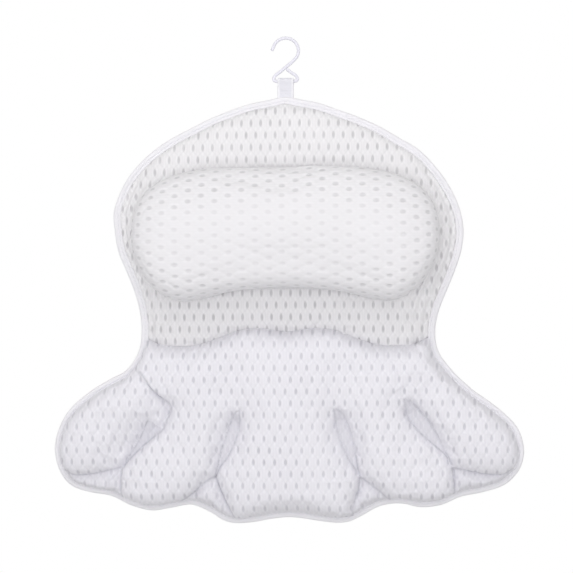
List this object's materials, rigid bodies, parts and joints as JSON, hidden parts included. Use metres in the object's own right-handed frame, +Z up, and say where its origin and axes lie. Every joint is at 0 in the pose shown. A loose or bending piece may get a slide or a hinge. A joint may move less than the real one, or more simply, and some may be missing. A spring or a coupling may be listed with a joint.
{
  "type": "bath pillow",
  "caption": "Shell-shaped bath pillow of white air mesh: head cushion, padded shoulder lobes, suction cups behind, hung by a wire hook.",
  "frame": {"origin": "inner saddle of the wire hook, where the rail that holds it lies", "axes": "+Z up, +X to the right of the front view. The front faces -Y, turned 5.6 degrees down, and the suction cups face +Y, turned 5.6 degrees up, because the pillow hangs with its foot a little back."},
  "size_m": [0.4272, 0.1143, 0.4444],
  "materials": {
    "air_mesh_front": "matt, slotted honeycomb knit",
    "air_mesh_cushion": "matt, slotted honeycomb knit turned across",
    "air_mesh_back": "matt, fine mesh",
    "edge_binding": "smooth, stitched",
    "fibre_fill": "fluffy",
    "coated_wire": "white plastic coat, glossy",
    "webbing": "ribbed tape",
    "cup_pvc": "clear, glossy",
    "eyelet_plastic": "satin"
  },
  "bodies": {
    "hook": {"wire_hook": "coated_wire"},
    "loop": {"hanging_loop": "webbing"},
    "head": {"head_front_cover": "air_mesh_front", "head_panel_filling": "fibre_fill", "head_cushion_cover": "air_mesh_cushion", "head_cushion_filling": "fibre_fill", "head_cushion_seam_cord": "edge_binding", "head_back_cover": "air_mesh_back", "head_edge_piping": "edge_binding", "cup_eyelet_1": "eyelet_plastic", "cup_eyelet_2": "eyelet_plastic"},
    "shoulder": {"shoulder_front_cover": "air_mesh_front", "left_wing_filling": "fibre_fill", "left_lobe_filling": "fibre_fill", "centre_lobe_filling": "fibre_fill", "right_lobe_filling": "fibre_fill", "right_wing_filling": "fibre_fill", "shoulder_back_cover": "air_mesh_back", "shoulder_edge_piping": "edge_binding", "cup_eyelet_3": "eyelet_plastic", "cup_eyelet_4": "eyelet_plastic", "cup_eyelet_5": "eyelet_plastic", "cup_eyelet_6": "eyelet_plastic"},
    "cup_1": {"suction_cup_1": "cup_pvc"},
    "cup_2": {"suction_cup_2": "cup_pvc"},
    "cup_3": {"suction_cup_3": "cup_pvc"},
    "cup_4": {"suction_cup_4": "cup_pvc"},
    "cup_5": {"suction_cup_5": "cup_pvc"},
    "cup_6": {"suction_cup_6": "cup_pvc"}
  },
  "joints": [
    {"name": "hook_swing", "type": "hinge", "parent": "hook", "child": "loop", "pos_m": [0, 0, -0.0384], "axis": [1, 0, 0], "range_deg": [-70, 70]},
    {"name": "loop_flex", "type": "hinge", "parent": "loop", "child": "head", "pos_m": [0, 0, -0.0563], "axis": [1, 0, 0], "range_deg": [-70, 70]},
    {"name": "neck_fold", "type": "hinge", "parent": "head", "child": "shoulder", "pos_m": [0, 0.02717, -0.27037], "axis": [1, 0, 0], "range_deg": [0, 60], "stiffness_Nm_per_rad": 0.5, "springref_deg": -4.58},
    {"name": "cup_swivel_1", "type": "hinge", "parent": "head", "child": "cup_1", "pos_m": [-0.0903, 0.02068, -0.16469], "axis": [0, 0.9952, 0.0976], "continuous": true},
    {"name": "cup_swivel_2", "type": "hinge", "parent": "head", "child": "cup_2", "pos_m": [0.0903, 0.02068, -0.16469], "axis": [0, 0.9952, 0.0976], "continuous": true},
    {"name": "cup_swivel_3", "type": "hinge", "parent": "shoulder", "child": "cup_3", "pos_m": [-0.1505, 0.04013, -0.36315], "axis": [0, 0.9952, 0.0976], "continuous": true},
    {"name": "cup_swivel_4", "type": "hinge", "parent": "shoulder", "child": "cup_4", "pos_m": [-0.05375, 0.03594, -0.32034], "axis": [0, 0.9952, 0.0976], "continuous": true},
    {"name": "cup_swivel_5", "type": "hinge", "parent": "shoulder", "child": "cup_5", "pos_m": [0.05375, 0.03594, -0.32034], "axis": [0, 0.9952, 0.0976], "continuous": true},
    {"name": "cup_swivel_6", "type": "hinge", "parent": "shoulder", "child": "cup_6", "pos_m": [0.1505, 0.04013, -0.36315], "axis": [0, 0.9952, 0.0976], "continuous": true}
  ]
}
